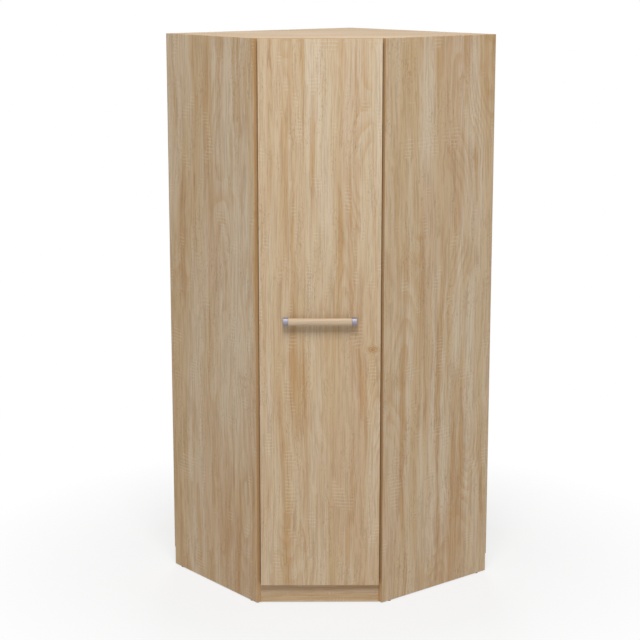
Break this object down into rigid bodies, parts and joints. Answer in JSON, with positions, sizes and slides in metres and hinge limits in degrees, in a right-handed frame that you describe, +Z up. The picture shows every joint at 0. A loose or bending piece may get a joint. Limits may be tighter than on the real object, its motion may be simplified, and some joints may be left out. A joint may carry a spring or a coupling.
{
  "type": "corner wardrobe",
  "caption": "Tall five-cornered wardrobe for a room's corner, with an angled front door on concealed hinges, a bow handle, a hat shelf and a hanging rail.",
  "frame": {"origin": "on the floor, in the middle of the wardrobe's box", "axes": "+Z up, -Y the way the door faces, +X to the right of someone who faces the door"},
  "size_m": [1.1772, 0.9872, 2.005],
  "materials": {
    "oak": "matt oak-pattern foil",
    "oak_door": "matt oak-pattern foil",
    "oak_handle": "matt oak-pattern foil",
    "back_sheet": "printed thin fibreboard",
    "handle_silver": "satin",
    "rail_chrome": "polished",
    "hinge_steel": "nickel plated",
    "screw_steel": "zinc plated",
    "dark_plastic": "matt",
    "dowel_beech": "raw beech",
    "buffer_soft": "soft, translucent"
  },
  "bodies": {
    "carcass": {"left_side_panel": "oak", "right_side_panel": "oak", "top_panel": "oak", "bottom_panel": "oak", "hat_shelf": "oak", "plinth_board": "oak", "rear_corner_post": "oak", "left_back_panel": "back_sheet", "right_back_panel": "back_sheet", "hanging_rail": "rail_chrome", "hinge_plates": "hinge_steel", "hinge_arms": "hinge_steel", "wall_angles": "hinge_steel", "hinge_plate_screws": "screw_steel", "hinge_arm_screws": "screw_steel", "rail_bracket_screws": "screw_steel", "plinth_block_screws": "screw_steel", "wall_angle_screws": "screw_steel", "back_panel_nails": "screw_steel", "cam_bolts": "screw_steel", "cam_housings": "screw_steel", "floor_glides": "dark_plastic", "rail_end_caps": "dark_plastic", "rail_brackets": "dark_plastic", "plinth_blocks": "dark_plastic", "wooden_dowels": "dowel_beech"},
    "door": {"door_panel": "oak_door", "hinge_cups": "hinge_steel", "hinge_cup_screws": "screw_steel", "hinge_pins": "hinge_steel", "handle_bar": "oak_handle", "handle_posts": "handle_silver", "handle_screws": "screw_steel", "door_buffers": "buffer_soft"}
  },
  "joints": [
    {"name": "door_swing", "type": "hinge", "parent": "carcass", "child": "door", "pos_m": [-0.23956, -0.45507, 1.03775], "axis": [0, 0, -1], "range_deg": [0, 95]}
  ]
}
